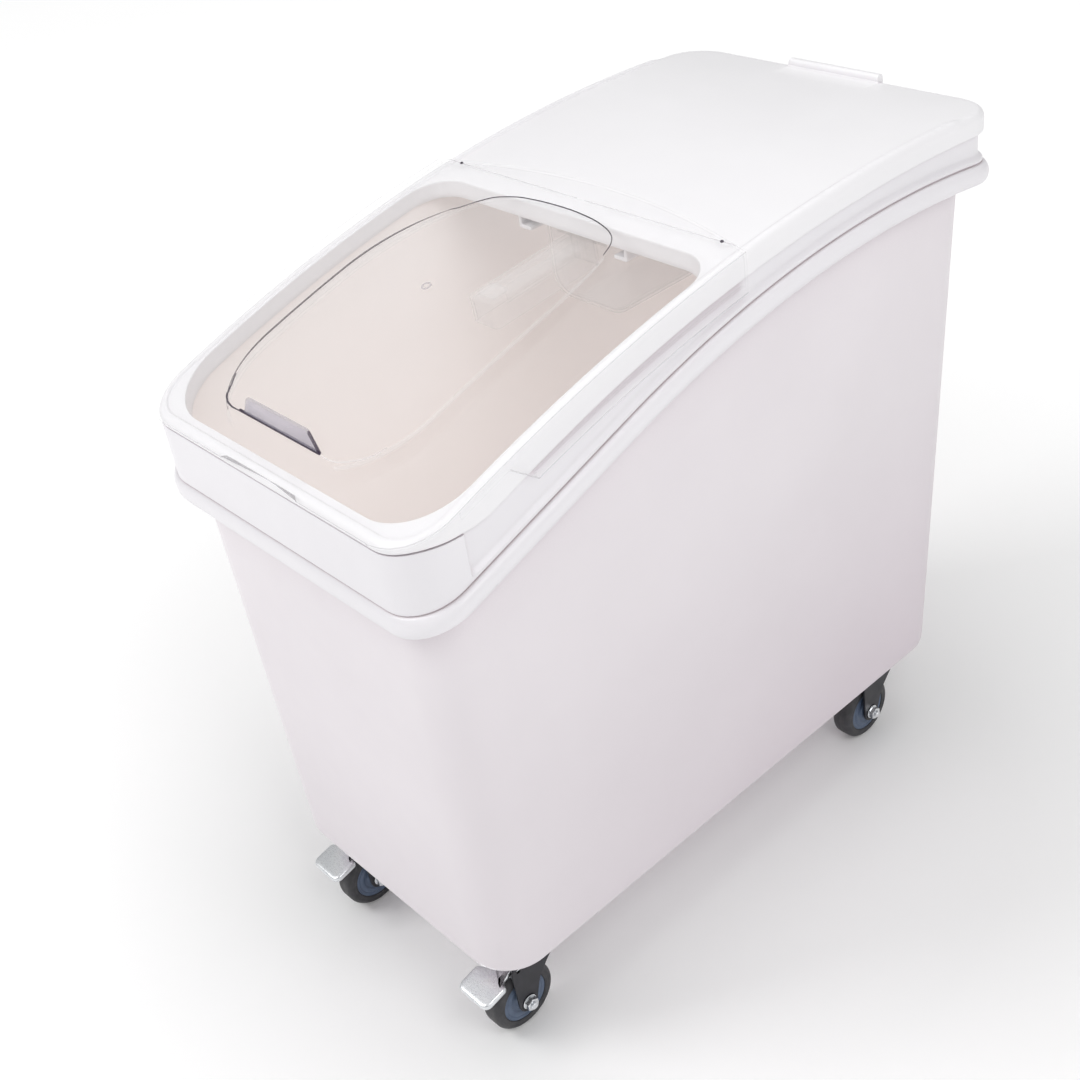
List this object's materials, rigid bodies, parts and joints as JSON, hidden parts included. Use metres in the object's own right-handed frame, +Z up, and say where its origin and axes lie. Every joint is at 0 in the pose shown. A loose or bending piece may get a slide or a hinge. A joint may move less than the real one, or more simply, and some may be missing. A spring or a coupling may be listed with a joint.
{
  "type": "rolling ingredient bin",
  "caption": "White slant-top flour bin on swivel casters, with a clear sliding front lid, a hanging clear scoop and foot brakes on the front wheels.",
  "frame": {"origin": "on the floor under the middle of the bin", "axes": "+Z up, the front of the bin faces -Y, +X to the right seen from behind"},
  "size_m": [0.407, 0.756, 0.7554],
  "materials": {
    "white_plastic": "satin moulded",
    "clear_plastic": "clear",
    "zinc": "bright zinc plate",
    "brass": "turned",
    "black_steel": "black coat",
    "bearing_steel": "plain steel",
    "hub_plastic": "moulded",
    "tyre": "moulded rubber"
  },
  "bodies": {
    "tub": {"tub": "white_plastic", "caster_bolts": "zinc", "caster_washers": "zinc", "threaded_inserts": "brass", "caster_plate_fl": "black_steel", "caster_plate_fr": "black_steel", "caster_plate_rl": "black_steel", "caster_plate_rr": "black_steel", "swivel_race_fl": "bearing_steel", "swivel_race_fr": "bearing_steel", "swivel_race_rl": "bearing_steel", "swivel_race_rr": "bearing_steel", "swivel_balls_fl": "bearing_steel", "swivel_balls_fr": "bearing_steel", "swivel_balls_rl": "bearing_steel", "swivel_balls_rr": "bearing_steel", "kingpin_fl": "bearing_steel", "kingpin_fr": "bearing_steel", "kingpin_rl": "bearing_steel", "kingpin_rr": "bearing_steel"},
    "lid": {"lid": "white_plastic", "scoop_hook_left": "white_plastic", "scoop_hook_right": "white_plastic"},
    "clear_lid": {"clear_lid": "clear_plastic"},
    "scoop": {"scoop": "clear_plastic"},
    "swivel_fl": {"fork_fl": "black_steel", "axle_fl": "zinc", "axle_nut_fl": "zinc", "brake_pin_fl": "zinc"},
    "wheel_fl": {"hub_fl": "hub_plastic", "tyre_fl": "tyre", "bush_fl": "bearing_steel"},
    "brake_fl": {"brake_pedal_fl": "zinc"},
    "swivel_fr": {"fork_fr": "black_steel", "axle_fr": "zinc", "axle_nut_fr": "zinc", "brake_pin_fr": "zinc"},
    "wheel_fr": {"hub_fr": "hub_plastic", "tyre_fr": "tyre", "bush_fr": "bearing_steel"},
    "brake_fr": {"brake_pedal_fr": "zinc"},
    "swivel_rl": {"fork_rl": "black_steel", "axle_rl": "zinc", "axle_nut_rl": "zinc"},
    "wheel_rl": {"hub_rl": "hub_plastic", "tyre_rl": "tyre", "bush_rl": "bearing_steel"},
    "swivel_rr": {"fork_rr": "black_steel", "axle_rr": "zinc", "axle_nut_rr": "zinc"},
    "wheel_rr": {"hub_rr": "hub_plastic", "tyre_rr": "tyre", "bush_rr": "bearing_steel"}
  },
  "joints": [
    {"name": "lid_lift", "type": "slide", "parent": "tub", "child": "lid", "axis": [0, 0, 1], "range_m": [0, 0.15]},
    {"name": "clear_lid_slide", "type": "hinge", "parent": "lid", "child": "clear_lid", "pos_m": [0, 0.206, -0.8645], "axis": [-1, 0, 0], "range_deg": [0, 11.2]},
    {"name": "scoop_slide", "type": "slide", "parent": "lid", "child": "scoop", "axis": [0, -0.9997, 0.0262], "range_m": [0, 0.09]},
    {"name": "swivel_fl", "type": "hinge", "parent": "tub", "child": "swivel_fl", "pos_m": [-0.1245, -0.284, 0.1], "axis": [0, 0, 1], "continuous": true},
    {"name": "wheel_fl", "type": "hinge", "parent": "swivel_fl", "child": "wheel_fl", "pos_m": [-0.1245, -0.314, 0.038], "axis": [1, 0, 0], "continuous": true},
    {"name": "brake_fl", "type": "hinge", "parent": "swivel_fl", "child": "brake_fl", "pos_m": [-0.1245, -0.32, 0.09], "axis": [1, 0, 0], "range_deg": [0, 10]},
    {"name": "swivel_fr", "type": "hinge", "parent": "tub", "child": "swivel_fr", "pos_m": [0.1245, -0.284, 0.1], "axis": [0, 0, 1], "continuous": true},
    {"name": "wheel_fr", "type": "hinge", "parent": "swivel_fr", "child": "wheel_fr", "pos_m": [0.1245, -0.314, 0.038], "axis": [1, 0, 0], "continuous": true},
    {"name": "brake_fr", "type": "hinge", "parent": "swivel_fr", "child": "brake_fr", "pos_m": [0.1245, -0.32, 0.09], "axis": [1, 0, 0], "range_deg": [0, 10]},
    {"name": "swivel_rl", "type": "hinge", "parent": "tub", "child": "swivel_rl", "pos_m": [-0.1245, 0.272, 0.1], "axis": [0, 0, 1], "continuous": true},
    {"name": "wheel_rl", "type": "hinge", "parent": "swivel_rl", "child": "wheel_rl", "pos_m": [-0.1245, 0.242, 0.038], "axis": [1, 0, 0], "continuous": true},
    {"name": "swivel_rr", "type": "hinge", "parent": "tub", "child": "swivel_rr", "pos_m": [0.1245, 0.272, 0.1], "axis": [0, 0, 1], "continuous": true},
    {"name": "wheel_rr", "type": "hinge", "parent": "swivel_rr", "child": "wheel_rr", "pos_m": [0.1245, 0.242, 0.038], "axis": [1, 0, 0], "continuous": true}
  ]
}
